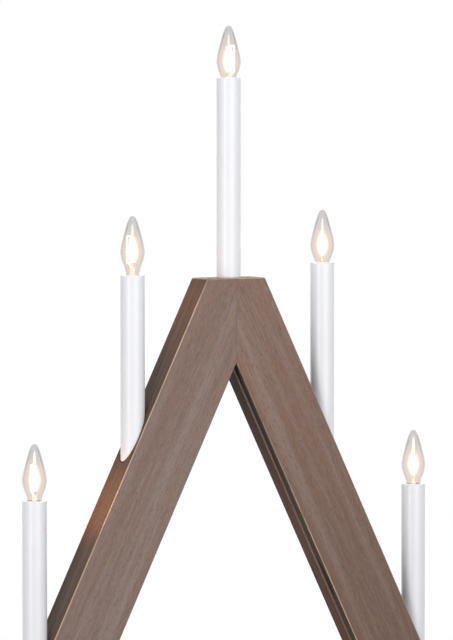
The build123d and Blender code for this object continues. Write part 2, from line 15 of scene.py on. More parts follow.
import bpy
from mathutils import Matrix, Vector


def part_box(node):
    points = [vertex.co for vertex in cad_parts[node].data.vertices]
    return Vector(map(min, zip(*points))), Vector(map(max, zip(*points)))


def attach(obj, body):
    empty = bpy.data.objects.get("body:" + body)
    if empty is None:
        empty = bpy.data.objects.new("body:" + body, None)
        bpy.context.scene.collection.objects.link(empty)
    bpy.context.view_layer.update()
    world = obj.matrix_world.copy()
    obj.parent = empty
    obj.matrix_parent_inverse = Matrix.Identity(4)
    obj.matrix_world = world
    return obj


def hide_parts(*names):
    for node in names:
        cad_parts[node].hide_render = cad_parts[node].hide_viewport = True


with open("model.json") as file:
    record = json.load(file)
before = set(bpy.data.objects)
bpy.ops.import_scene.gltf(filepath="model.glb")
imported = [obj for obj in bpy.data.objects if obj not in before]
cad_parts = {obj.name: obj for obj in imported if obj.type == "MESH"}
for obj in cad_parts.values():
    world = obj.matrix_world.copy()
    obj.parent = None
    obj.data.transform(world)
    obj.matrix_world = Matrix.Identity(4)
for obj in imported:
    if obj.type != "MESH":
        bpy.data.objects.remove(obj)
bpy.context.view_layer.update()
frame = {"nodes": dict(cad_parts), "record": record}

LOG = logging.getLogger("candle_arch")
MM = 0.001
WELD = 1e-6  # points nearer than this become one
BOARD_LEAN = 26.4  # degrees from upright, as in the CAD
CANDLE_SPACING = 73.0 * MM  # between neighbouring candles, as in the CAD

Point = Tuple[float, float]
Triple = Tuple[float, float, float]
Colour = Triple
Stop = Tuple[float, Colour]
Material = bpy.types.Material
Piece = bpy.types.Object
Socket = bpy.types.NodeSocket


class Grain(Enum):
    """Which way the wood fibres run, as the turn that lays them along Z."""

    LEFT_BOARD = (0.0, -BOARD_LEAN, 0.0)
    RIGHT_BOARD = (0.0, BOARD_LEAN, 0.0)
    CROSS_FOOT = (90.0, 0.0, 0.0)
    DOWEL = (0.0, -90.0, 0.0)


class NodeSheet:
    """A node tree, with short ways to add nodes and join them."""

    def __init__(self, tree: bpy.types.NodeTree) -> None:
        """Take a tree over and empty it."""
        self.tree = tree
        self.tree.nodes.clear()

    def add(self, kind: str, **settings) -> bpy.types.Node:
        """Add a node.

        Args:
            kind: Blender's name for the node type.
            settings: Properties to set on it.

        Returns:
            The new node.
        """
        node = self.tree.nodes.new(kind)
        for key, value in settings.items():
            setattr(node, key, value)
        return node

    def link(self, source: Socket, target: Socket) -> None:
        """Join an output to an input."""
        self.tree.links.new(source, target)

    def put(self, value, target: Socket) -> None:
        """Link a socket, or set a plain value, on an input.

        Args:
            value: Socket or plain value.
            target: The input.
        """
        if isinstance(value, Socket):
            self.link(value, target)
        else:
            target.default_value = value

    def math(self, operation: str, first, second=0.0, clamp: bool = False) -> Socket:
        """Join two values with one sum.

        Args:
            operation: Blender's name for the sum.
            first: Socket or number.
            second: Socket or number.
            clamp: Whether the result is kept from 0 to 1.

        Returns:
            The resulting socket.
        """
        node = self.add("ShaderNodeMath", operation=operation, use_clamp=clamp)
        self.put(first, node.inputs[0])
        self.put(second, node.inputs[1])
        return node.outputs[0]

    def span(self, value: Socket, low, high, to_low: float = 0.0, to_high: float = 1.0) -> Socket:
        """Ease a value from one range to another.

        Args:
            value: Socket to map.
            low: Value that gives to_low, as a socket or number.
            high: Value that gives to_high, as a socket or number.
            to_low: Result at the low end.
            to_high: Result at the high end.

        Returns:
            The mapped socket.
        """
        node = self.add("ShaderNodeMapRange", interpolation_type="SMOOTHSTEP")
        for place, number in enumerate((value, low, high, to_low, to_high)):
            self.put(number, node.inputs[place])
        return node.outputs[0]

    def mix(self, share, first, second, blend: str = "MIX") -> Socket:
        """Mix two colours.

        Args:
            share: How much of the second colour shows.
            first: Colour or socket.
            second: Colour or socket.
            blend: Blender's name for the way of mixing.

        Returns:
            The mixed colour socket.
        """
        node = self.add("ShaderNodeMix", data_type="RGBA", blend_type=blend)
        self.put(share, node.inputs[0])
        for colour, place in ((first, 6), (second, 7)):
            plain = not isinstance(colour, Socket)
            self.put((*colour, 1.0) if plain else colour, node.inputs[place])
        return node.outputs[2]

    def ramp(self, value, stops: Sequence[Stop]) -> Socket:
        """Turn a value into a colour.

        Args:
            value: Socket that runs from 0 to 1.
            stops: Places and their colours.

        Returns:
            The colour socket.
        """
        node = self.add("ShaderNodeValToRGB")
        while len(node.color_ramp.elements) < len(stops):
            node.color_ramp.elements.new(1.0)
        for element, (place, colour) in zip(node.color_ramp.elements, stops):
            element.position = place
            element.color = (*colour, 1.0)
        self.put(value, node.inputs[0])
        return node.outputs[0]

    def product(self, first, second) -> Socket:
        """Multiply two values."""
        return self.math("MULTIPLY", first, second)

    def split(self, vector: Socket) -> Sequence[Socket]:
        """Take a vector apart.

        Args:
            vector: Socket of the vector.

        Returns:
            Sockets of its X, Y and Z.
        """
        node = self.add("ShaderNodeSeparateXYZ")
        self.link(vector, node.inputs[0])
        return node.outputs

    def normal(self) -> Socket:
        """The direction that the surface faces, without any bump."""
        return self.add("ShaderNodeTexCoord").outputs["Normal"]

    def place(self, turn: Sequence[float] = (0, 0, 0), shift: Sequence[float] = (0, 0, 0)) -> Socket:
        """Object coordinates, turned and then shifted.

        Args:
            turn: Turns about the axes, in degrees.
            shift: Shift after the turn, in metres.

        Returns:
            The vector socket.
        """
        node = self.add("ShaderNodeMapping")
        node.inputs["Rotation"].default_value = [math.radians(angle) for angle in turn]
        node.inputs["Location"].default_value = shift
        self.link(self.add("ShaderNodeTexCoord").outputs["Object"], node.inputs["Vector"])
        return node.outputs[0]

    def noise(self, vector, stretch: Sequence[float], detail: float = 3.0, rough: float = 0.5,
              bend: float = 0.0) -> Socket:
        """Soft noise with its own scale on each axis.

        Args:
            vector: Coordinates to read.
            stretch: Features per metre along each axis.
            detail: Number of finer layers.
            rough: Strength of the finer layers.
            bend: How much the pattern wanders.

        Returns:
            The value socket.
        """
        scale = self.add("ShaderNodeMapping")
        scale.inputs["Scale"].default_value = stretch
        self.link(vector, scale.inputs["Vector"])
        node = self.add("ShaderNodeTexNoise")
        self.link(scale.outputs[0], node.inputs["Vector"])
        settings = {"Scale": 1.0, "Detail": detail, "Roughness": rough, "Distortion": bend}
        for key, number in settings.items():
            node.inputs[key].default_value = number
        return node.outputs[0]

    def seen_plainly(self) -> Socket:
        """Tell what the camera, glass and gloss see from what only lights the arch.

        Returns:
            Socket that is 1 for what they see.
        """
        rays = self.add("ShaderNodeLightPath").outputs
        seen = self.math("MAXIMUM", rays["Is Camera Ray"], rays["Is Glossy Ray"])
        return self.math("MAXIMUM", seen, rays["Is Transmission Ray"])


class Surface(NodeSheet):
    """The node tree of a new material, with one surface shader."""

    def __init__(self, name: str) -> None:
        """Start a material.

        Args:
            name: Name of the material.
        """
        self.material = bpy.data.materials.new(name)
        self.material.use_nodes = True
        super().__init__(self.material.node_tree)
        self.shader = self.add("ShaderNodeBsdfPrincipled")
        self.output = self.add("ShaderNodeOutputMaterial")
        self.link(self.shader.outputs[0], self.output.inputs["Surface"])

    def bump(self, height: Socket, strength: float, depth: float) -> None:
        """Give the surface shader a bump.

        Args:
            height: Value socket that gives the height.
            strength: Share of the bump that is used.
            depth: Depth of the bump in metres.
        """
        node = self.add("ShaderNodeBump")
        node.inputs["Strength"].default_value = strength
        node.inputs["Distance"].default_value = depth
        self.link(height, node.inputs["Height"])
        self.link(node.outputs[0], self.shader.inputs["Normal"])

    def dress(self, **values) -> Material:
        """Set the surface shader's inputs.

        Args:
            values: Inputs by name, with underscores for spaces.

        Returns:
            The finished material.
        """
        for key, value in values.items():
            self.put(value, self.shader.inputs[key.replace("_", " ")])
        return self.material


@dataclass(frozen=True)
class StainedWood:
    """Brown stain over open grain, paler where the edges are rubbed and carry a painted highlight, with
    painted shade and painted shadow lines in places.
    """

    name: str
    grain: Grain
    shift: Triple = (0.0, 0.0, 0.0)
    deep: Colour = (0.128, 0.083, 0.067)
    body: Colour = (0.206, 0.137, 0.111)
    pale: Colour = (0.262, 0.196, 0.170)
    russet: Colour = (0.230, 0.137, 0.098)
    # Colour of the rubbed edges, which also carry a painted highlight
    rubbed: Colour = (0.50, 0.37, 0.27)
    tint: Colour = (1.0, 1.0, 1.0)
    # Share of its colour that a narrow face keeps: painted shade
    side_painted_shade: Colour = (0.56, 0.48, 0.43)
    # Share of its colour that the lower end keeps: painted shade
    low_painted_shade: float = 1.0
    # Share of its colour that an under face keeps below the apex: painted shade
    painted_crotch_shade: float = 1.0
    # Strength of the painted shadow line round each tube
    bore_shadow: float = 0.0
    # Strength of the rubbed wear and painted highlight on the edges
    edge_wear_and_highlight: float = 0.9
    seam: float = 0.0

    # Features per metre, across the fibres both ways and along them
    BAND: ClassVar[Triple] = (75, 75, 1.6)
    STREAK: ClassVar[Triple] = (420, 420, 9)
    FIBRE: ClassVar[Triple] = (1300, 1300, 130)
    PORES: ClassVar[Triple] = (1700, 1700, 320)
    RUBS: ClassVar[Triple] = (120, 120, 40)

    # Colour of the painted shadow line round each tube
    BORE_SHADOW: ClassVar[Colour] = (0.02, 0.013, 0.010)

    def make(self) -> Material:
        """Build the wood from soft bands, reddish streaks, fibres, pores, rubbed edges with a painted
        highlight, painted shade and painted shadow lines.

        Returns:
            The finished material.
        """
        sheet = Surface(self.name)
        along = sheet.place(self.grain.value, self.shift)
        band = sheet.noise(along, self.BAND, 2.0, 0.5, 0.5)
        streak = sheet.noise(along, self.STREAK, 3.0, 0.6, 0.5)
        fibre = sheet.noise(along, self.FIBRE, 4.0, 0.7, 0.3)
        pores = sheet.noise(along, self.PORES, 1.0, 0.5)
        layers = (
            (band, 0.40, 0.62, 1.0, self.mid(0.95)),
            (streak, 0.46, 0.66, 0.80, self.russet),
            (streak, 0.46, 0.30, 0.55, self.pale),
            (fibre, 0.50, 0.68, 0.60, self.pale),
            (fibre, 0.48, 0.30, 0.60, self.deep),
            (pores, 0.58, 0.70, 0.60, self.deep),
        )
        colour = self.body
        for value, none, full, most, tone in layers:
            colour = sheet.mix(sheet.span(value, none, full, 0.0, most), colour, tone)
        # Painted shade on the narrow faces; the broad faces take the board's tint
        faces = sheet.mix(self.broad_face(sheet), self.side_painted_shade, self.tint)
        colour = sheet.mix(1.0, colour, faces, "MULTIPLY")
        # Painted shade, darker towards the lower end
        colour = sheet.mix(1.0, colour, self.low_end_painted_shade(sheet), "MULTIPLY")
        # Rubbed wear and a painted highlight on the rounded edges, broken into patches
        patchy = sheet.span(sheet.noise(along, self.RUBS, 3.0, 0.6), 0.30, 0.62, 0.35, 1.0)
        worn_and_highlit = sheet.product(sheet.product(self.edge_mask(sheet), patchy), self.edge_wear_and_highlight)
        colour = sheet.mix(worn_and_highlit, colour, self.rubbed)
        # Painted shade on the under faces below the apex
        colour = sheet.mix(1.0, colour, self.painted_shade_below_apex(sheet), "MULTIPLY")
        if self.seam:
            colour = sheet.mix(self.seam_mask(sheet), colour, self.deep)
        # Painted shadow line round each tube, in the gap of its bore
        if self.bore_shadow:
            colour = sheet.mix(self.bore_shadow_mask(sheet), colour, self.BORE_SHADOW)
        sheet.bump(sheet.math("SUBTRACT", fibre, sheet.product(pores, 0.6)), 0.30, 0.22 * MM)
        roughness = sheet.span(streak, 0.3, 0.7, 0.52, 0.66)
        return sheet.dress(Base_Color=colour, Roughness=roughness, Specular_IOR_Level=0.2)

    def mid(self, share: float) -> Colour:
        """A tone between the body and the pale colour, by its share of the pale one."""
        return tuple(body + (pale - body) * share for body, pale in zip(self.body, self.pale))

    def broad_face(self, sheet: NodeSheet) -> Socket:
        """Mask of the broad front and back faces; the narrow faces outside it take painted shade."""
        return sheet.span(sheet.math("ABSOLUTE", sheet.split(sheet.normal())[1]), 0.5, 0.9)

    def low_end_painted_shade(self, sheet: NodeSheet) -> Socket:
        """How much of its colour the board keeps by height: painted shade, darker towards its lower
        end.
        """
        return sheet.span(sheet.split(sheet.place())[2], 100 * MM, 360 * MM, self.low_painted_shade, 1.0)

    def painted_shade_below_apex(self, sheet: NodeSheet) -> Socket:
        """How much of its colour an under face keeps by height: painted shade, darker below the apex.

        Args:
            sheet: The node tree.

        Returns:
            The value socket.
        """
        under = sheet.span(sheet.split(sheet.normal())[2], -0.05, -0.30)
        high = sheet.span(sheet.split(sheet.place())[2], 170 * MM, 300 * MM)
        return sheet.span(sheet.product(under, high), 0.0, 1.0, 1.0, self.painted_crotch_shade)

    def edge_mask(self, sheet: NodeSheet) -> Socket:
        """Mask of the rounded edges: where the surface faces none of the board's flat sides.

        Args:
            sheet: The node tree.

        Returns:
            The value socket.
        """
        normal = sheet.normal()
        own = sheet.add("ShaderNodeMapping", vector_type="VECTOR")
        own.inputs["Rotation"].default_value = [math.radians(angle) for angle in self.grain.value]
        sheet.link(normal, own.inputs["Vector"])
        flat = None
        for vector, axes in ((own.outputs[0], (0, 1, 2)), (normal, (2,))):
            parts = sheet.split(vector)
            for axis in axes:
                size = sheet.math("ABSOLUTE", parts[axis])
                flat = size if flat is None else sheet.math("MAXIMUM", flat, size)
        return sheet.span(flat, 0.995, 0.88)

    def bore_shadow_mask(self, sheet: NodeSheet) -> Socket:
        """Mask of the painted shadow line round each tube, by the distance from its axis.

        Args:
            sheet: The node tree.

        Returns:
            The value socket.
        """
        parts = sheet.split(sheet.place())
        across = sheet.math("PINGPONG", parts[0], CANDLE_SPACING / 2)
        squares = sheet.math("ADD", sheet.product(across, across), sheet.product(parts[1], parts[1]))
        return sheet.span(sheet.math("SQRT", squares), 9.0 * MM, 8.2 * MM, 0.0, self.bore_shadow)

    def seam_mask(self, sheet: NodeSheet) -> Socket:
        """Mask of the fine glue line where the boards meet."""
        aside = sheet.math("ABSOLUTE", sheet.split(sheet.place())[0])
        return sheet.span(aside, 0.5 * MM, 0.1 * MM, 0.0, self.seam)


@dataclass(frozen=True)
class MouldedPlastic:
    """Moulded plastic or rubber with a faint mottle."""

    name: str
    colour: Colour
    roughness: float
    coat: float = 0.0
    mottle: float = 0.03
    texture: float = 0.02 * MM

    def make(self) -> Material:
        """Build the plastic from a mottled colour and a fine surface texture.

        Returns:
            The finished material.
        """
        sheet = Surface(self.name)
        place = sheet.place()
        cloud = sheet.noise(place, (160, 160, 60), 2.0)
        fine = sheet.noise(place, (1800, 1800, 1800), 2.0)
        shade = tuple(part * (1.0 - self.mottle) for part in self.colour)
        colour = sheet.mix(sheet.span(cloud, 0.35, 0.65), self.colour, shade)
        sheet.bump(fine, 0.2, self.texture)
        roughness = sheet.span(fine, 0.3, 0.7, self.roughness * 0.9, self.roughness * 1.15)
        return sheet.dress(
            Base_Color=colour, Roughness=roughness, Coat_Weight=self.coat, Coat_Roughness=0.08)


@dataclass(frozen=True)
class SheetMetal:
    """Metal with turned marks and a little tarnish."""

    name: str
    colour: Colour
    tarnish: Colour
    roughness: float

    def make(self) -> Material:
        """Build the metal from a tarnished colour and fine turned lines.

        Returns:
            The finished material.
        """
        sheet = Surface(self.name)
        place = sheet.place()
        cloud = sheet.noise(place, (300, 300, 300), 3.0)
        lines = sheet.noise(place, (60, 60, 9000), 1.0)
        colour = sheet.mix(sheet.span(cloud, 0.45, 0.75, 0.0, 0.7), self.colour, self.tarnish)
        sheet.bump(lines, 0.15, 0.02 * MM)
        roughness = sheet.span(cloud, 0.3, 0.7, self.roughness * 0.8, self.roughness * 1.3)
        return sheet.dress(Base_Color=colour, Metallic=1.0, Roughness=roughness)


@dataclass(frozen=True)
class ClearGlass:
    """Glass, warm in its belly with painted light of the lit strip, grey with painted shade at its tip
    and where it is seen edge on.
    """

    name: str
    foot: Colour
    belly: Colour
    tip: Colour
    belly_rim_painted_shade: Colour
    tip_rim_painted_shade: Colour
    # Strength of the painted glow and painted reflection
    glow: float
    painted_glow_colour: Colour = (1.0, 0.84, 0.62)
    bending: float = 1.03

    # Where the greyer edge of painted shade starts and is full, from 0 (square on) to 1 (edge on)
    BELLY_EDGE: ClassVar[Point] = (0.44, 0.84)
    TIP_EDGE: ClassVar[Point] = (0.36, 0.76)

    def make(self) -> Material:
        """Build the glass from tints that change with height, warm with painted light and grey with
        painted shade, a greyer edge of painted shade and a painted glow.

        Returns:
            The finished material.
        """
        sheet = Surface(self.name)
        rise = sheet.add("ShaderNodeAttribute", attribute_name="rise").outputs["Fac"]
        weight = sheet.add("ShaderNodeLayerWeight")
        weight.inputs["Blend"].default_value = 0.5
        facing = weight.outputs["Facing"]
        ripple = sheet.noise(sheet.place(), (260, 260, 90), 2.0)
        # The warm tints are painted light of the strip; the grey tip is painted shade
        stops = ((0.04, self.foot), (0.22, self.belly), (0.58, self.belly), (0.82, self.tip))
        face = sheet.ramp(rise, stops)
        rim = sheet.ramp(rise, ((0.45, self.belly_rim_painted_shade), (0.80, self.tip_rim_painted_shade)))
        limits = [
            sheet.span(rise, 0.5, 0.8, belly, tip)
            for belly, tip in zip(self.BELLY_EDGE, self.TIP_EDGE)
        ]
        edge = sheet.span(facing, *limits)
        share = sheet.math("ADD", edge, sheet.span(ripple, 0.4, 0.8, 0.0, 0.06), clamp=True)
        sheet.bump(ripple, 0.05, 0.1 * MM)
        # The emission is a painted glow and a painted reflection of the strip
        return sheet.dress(
            Base_Color=sheet.mix(share, face, rim), Roughness=0.0, Transmission_Weight=1.0,
            IOR=self.bending, Emission_Color=(*self.painted_glow_colour, 1.0),
            Emission_Strength=self.painted_glow_and_reflection(sheet, rise, facing),
        )

    def painted_glow_and_reflection(self, sheet: NodeSheet, rise: Socket, facing: Socket) -> Socket:
        """Painted light on the glass: a soft patch of painted glow before the strip and a thin painted
        reflection of the strip above it.

        Args:
            sheet: The node tree.
            rise: Height as a share of the bulb's.
            facing: 0 where the glass is seen square on, 1 where it is seen edge on.

        Returns:
            The strength of the glow.
        """
        tall = sheet.product(sheet.span(rise, 0.10, 0.34), sheet.span(rise, 0.68, 0.44))
        patch = sheet.product(tall, sheet.math("POWER", sheet.span(facing, 0.26, 0.02), 2.0))
        above = sheet.product(sheet.span(rise, 0.60, 0.72), sheet.span(rise, 0.97, 0.90))
        streak = sheet.product(above, sheet.span(facing, 0.055, 0.015, 0.0, 1.4))
        return sheet.product(sheet.math("ADD", patch, streak), self.glow)


@dataclass(frozen=True)
class LitPatches:
    """Something that emits in patches of two tones: a lit strip, which is a lamp, or the glass mount
    under it and the rail beside it, whose emission is painted light of the strip.
    """

    name: str
    tones: Tuple[Colour, Colour]
    strength: float
    stretch: Triple = (900, 900, 500)
    detail: float = 2.0
    limits: Point = (0.35, 0.65)
    roughness: float = 0.6
    clear: float = 0.0
    bending: float = 1.5

    def make(self) -> Material:
        """Build the material from patches of its tones.

        Returns:
            The finished material.
        """
        sheet = Surface(self.name)
        patches = sheet.noise(sheet.place(), self.stretch, self.detail)
        colour = sheet.mix(sheet.span(patches, *self.limits), *self.tones)
        return sheet.dress(
            Base_Color=colour, Roughness=self.roughness, Transmission_Weight=self.clear,
            IOR=self.bending, Emission_Color=colour, Emission_Strength=self.strength,
        )


@dataclass(frozen=True)
class PressedFelt:
    """Pressed felt with short fibres."""

    name: str
    dark: Colour
    light: Colour

    def make(self) -> Material:
        """Build the felt from crossing fibres.

        Returns:
            The finished material.
        """
        sheet = Surface(self.name)
        place = sheet.place()
        one = sheet.noise(place, (2400, 700, 1500), 3.0, 0.7, 1.5)
        two = sheet.noise(place, (700, 2400, 1500), 3.0, 0.7, 1.5)
        fibres = sheet.math("MAXIMUM", one, two)
        colour = sheet.ramp(fibres, ((0.40, self.dark), (0.70, self.light)))
        sheet.bump(fibres, 0.8, 0.3 * MM)
        return sheet.dress(Base_Color=colour, Roughness=0.95, Sheen_Weight=0.4, Sheen_Roughness=0.5)


def deselect() -> None:
    """Deselect everything in object mode."""
    if bpy.context.object and bpy.context.object.mode != "OBJECT":
        bpy.ops.object.mode_set(mode="OBJECT")
    bpy.ops.object.select_all(action="DESELECT")


def pick(*pieces: Piece) -> Piece:
    """Select pieces and make the first one active.

    Args:
        pieces: What to select.

    Returns:
        The active piece.
    """
    deselect()
    for piece in pieces:
        piece.select_set(True)
    bpy.context.view_layer.objects.active = pieces[0]
    return pieces[0]


def edit_all() -> None:
    """Go into edit mode with all of the active piece selected."""
    bpy.ops.object.mode_set(mode="EDIT")
    bpy.ops.mesh.select_all(action="SELECT")


def draw_chain(name: str, points: Sequence[Point]) -> Piece:
    """Draw a chain of points in the XZ plane, left in edit mode with all of it selected.

    Args:
        name: Name of the piece.
        points: Points as X and Z.

    Returns:
        The piece.
    """
    deselect()
    bpy.ops.mesh.primitive_plane_add(size=MM)
    piece = bpy.context.active_object
    piece.name = name
    edit_all()
    bpy.ops.mesh.merge(type="CENTER")
    bpy.ops.transform.translate(value=(points[0][0], 0, points[0][1]))
    for before, after in zip(points, points[1:]):
        step = (after[0] - before[0], 0, after[1] - before[1])
        bpy.ops.mesh.extrude_vertices_move(TRANSFORM_OT_translate={"value": step})
    bpy.ops.mesh.select_all(action="SELECT")
    return piece


def turned(name: str, outline: Sequence[Point], steps: int, smooth: float = 40.0) -> Piece:
    """Turn a half outline about the upright axis.

    Args:
        name: Name of the piece.
        outline: Points as radius and height, from one end to the other.
        steps: Number of steps round the axis.
        smooth: Sharpest angle that is shaded smooth, in degrees.

    Returns:
        The turned piece, at the origin.
    """
    piece = draw_chain(name, outline)
    bpy.ops.mesh.spin(steps=steps, angle=math.tau, center=(0, 0, 0), axis=(0, 0, 1))
    finish_mesh(smooth)
    return piece


def mend() -> None:
    """Merge doubled points and turn all faces outwards, in edit mode."""
    bpy.ops.mesh.select_all(action="SELECT")
    bpy.ops.mesh.remove_doubles(threshold=WELD)
    bpy.ops.mesh.normals_make_consistent(inside=False)


def finish_mesh(smooth: float) -> None:
    """Mend the mesh, leave edit mode and shade it smooth.

    Args:
        smooth: Sharpest angle that is shaded smooth, in degrees.
    """
    mend()
    bpy.ops.object.mode_set(mode="OBJECT")
    bpy.ops.object.shade_smooth_by_angle(angle=math.radians(smooth))


def bar(name: str, size: Sequence[float], place: Sequence[float], bevel: float) -> Piece:
    """Make a bar with rounded edges.

    Args:
        name: Name of the piece.
        size: Lengths along the axes.
        place: Middle of the bar.
        bevel: Radius of its edges.

    Returns:
        The bar, with its place in its mesh.
    """
    deselect()
    bpy.ops.mesh.primitive_cube_add(size=1.0)
    piece = bpy.context.active_object
    piece.name = name
    edit_all()
    bpy.ops.transform.resize(value=size)
    bpy.ops.transform.translate(value=place)
    bpy.ops.mesh.bevel(offset=bevel, segments=3, affect="EDGES", clamp_overlap=True)
    finish_mesh(40.0)
    return piece


def wire(name: str, path: Sequence[Point], radius: float) -> Piece:
    """Draw a round wire along a path in the XZ plane.

    Args:
        name: Name of the piece.
        path: Points as X and Z.
        radius: Radius of the wire.

    Returns:
        The wire as a closed mesh.
    """
    piece = draw_chain(name, path)
    bpy.ops.object.mode_set(mode="OBJECT")
    bpy.ops.object.convert(target="CURVE")
    piece.data.bevel_depth = radius
    piece.data.bevel_resolution = 3
    piece.data.use_fill_caps = True
    bpy.ops.object.convert(target="MESH")
    bpy.ops.object.mode_set(mode="EDIT")
    finish_mesh(50.0)
    return piece


def modify(piece: Piece, kind: str, **settings) -> None:
    """Add a modifier and apply it.

    Args:
        piece: The piece to change.
        kind: Blender's name for the modifier type.
        settings: Properties to set on it.
    """
    pick(piece)
    bpy.ops.object.modifier_add(type=kind)
    modifier = piece.modifiers[-1]
    for key, value in settings.items():
        setattr(modifier, key, value)
    bpy.ops.object.modifier_apply(modifier=modifier.name)


def copied(piece: Piece, name: str, place: Sequence[float], turn: float = 0.0) -> Piece:
    """Copy a piece, with its own mesh, to another place.

    Args:
        piece: What to copy.
        name: Name of the copy.
        place: Where its origin goes.
        turn: Turn about the upright axis, in degrees.

    Returns:
        The copy, with its place in its mesh.
    """
    pick(piece)
    bpy.ops.object.duplicate(linked=False)
    made = bpy.context.active_object
    made.name = name
    made.location = place
    made.rotation_euler = (0, 0, math.radians(turn))
    bpy.ops.object.transform_apply(location=True, rotation=True, scale=True)
    return made


def joined(name: str, *pieces: Piece) -> Piece:
    """Join pieces into one.

    Args:
        name: Name of the joined piece.
        pieces: What to join.

    Returns:
        The joined piece.
    """
    made = pick(*pieces)
    bpy.ops.object.join()
    made.name = name
    return made


def remove(*pieces: Piece) -> None:
    """Delete pieces that were only a pattern for copies."""
    pick(*pieces)
    bpy.ops.object.delete()


def aimed(data: bpy.types.ID, place: Vector, towards: Vector) -> Piece:
    """Put a lamp or the camera in the scene.

    Args:
        data: The lamp or camera.
        place: Where it stands.
        towards: The way that it faces.

    Returns:
        Its object.
    """
    made = bpy.data.objects.new(data.name, data)
    made.location = place
    made.rotation_euler = towards.to_track_quat("-Z", "Y").to_euler()
    bpy.context.scene.collection.objects.link(made)
    return made


def eased(points: Sequence[Point], steps: int) -> List[Point]:
    """Round a chain of points off, passing through each of them.

    Args:
        points: The chain.
        steps: Steps between neighbouring points.

    Returns:
        The longer, rounder chain.
    """
    ends = [points[0], *points, points[-1]]
    chain: List[Point] = []
    for a, b, c, d in zip(ends, ends[1:], ends[2:], ends[3:]):
        for step in range(steps):
            t = step / steps
            chain.append(tuple(
                0.5 * (2 * q + (r - p) * t
                       + (2 * p - 5 * q + 4 * r - s) * t**2 + (3 * q - p - 3 * r + s) * t**3)
                for p, q, r, s in zip(a, b, c, d)
            ))
    chain.append(points[-1])
    return chain


def rounded(points: Sequence[Point], radius: float, steps: int = 5) -> List[Point]:
    """Round the corners of a path.

    Args:
        points: The path's corners.
        radius: How far from a corner its bend starts.
        steps: Steps round each bend.

    Returns:
        The path with its bends.
    """
    path = [points[0]]
    for before, corner, after in zip(points, points[1:], points[2:]):
        ends = []
        for other in (before, after):
            reach = math.dist(corner, other)
            ends.append(tuple(c + (o - c) * radius / reach for c, o in zip(corner, other)))
        for step in range(steps + 1):
            t = step / steps
            path.append(tuple(
                (1 - t)**2 * a + 2 * t * (1 - t) * c + t**2 * b
                for a, c, b in zip(ends[0], corner, ends[1])
            ))
    return [*path, points[-1]]


@dataclass(frozen=True)
class Seat:
    """Where a candle stands, the turn of its lit strip and the light that it casts on its board."""

    name: str
    strip_turn: float
    wood_shine: float = 0.0
    wood_shine_drop: float = 0.0

    @property
    def rim(self) -> Triple:
        """Middle of the tube's top end, from the CAD node."""
        low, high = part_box(f"{self.name}_candle_tube")
        return ((low.x + high.x) / 2, (low.y + high.y) / 2, high.z)

    def lamp(self, height: float) -> Triple:
        """Datum of the bulb, from the CAD node and the height of the tip above the datum."""
        x, y, _ = self.rim
        return (x, y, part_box(f"{self.name}_bulb_glass")[1].z - height)


@dataclass
class CandleTube:
    """The white sleeve with its turned-in top ring. Heights are from the top of the tube."""

    radius: float = 8.0 * MM
    wall: float = 1.0 * MM
    length: float = 150.0 * MM
    hole: float = 5.5 * MM
    ring: float = 1.0 * MM
    lip: float = 1.0 * MM
    hole_lip: float = 0.3 * MM
    chamfer: float = 0.3 * MM
    dish: float = 0.05 * MM
    dish_margins: Point = (0.9 * MM, 1.3 * MM)
    steps: int = 72

    def build(self) -> Piece:
        """Turn the sleeve, with a rounded rim and a lightly chamfered foot.

        Returns:
            The sleeve, at the origin.
        """
        bore, chamfer, lip = self.radius - self.wall, self.chamfer, self.lip
        corner = [
            (self.radius - lip + lip * math.sin(angle), -lip + lip * math.cos(angle))
            for angle in (math.radians(15 * step) for step in range(7))
        ]
        inner = [
            (self.hole + self.hole_lip * (1 - math.sin(angle)),
             -self.hole_lip * (1 - math.cos(angle)))
            for angle in (math.radians(22.5 * step) for step in range(4, -1, -1))
        ]
        starts = (self.hole + self.dish_margins[0], self.radius - self.dish_margins[1])
        dish = [(start, -self.dish) for start in starts]
        outline = [
            *inner, *dish, *corner,
            (self.radius, -self.length / 3), (self.radius, -2 * self.length / 3),
            (self.radius, -self.length + chamfer), (self.radius - chamfer, -self.length),
            (bore, -self.length), (bore, -self.ring - chamfer), (bore - chamfer, -self.ring),
            (self.hole, -self.ring), inner[0],
        ]
        return turned("tube_pattern", outline, self.steps)


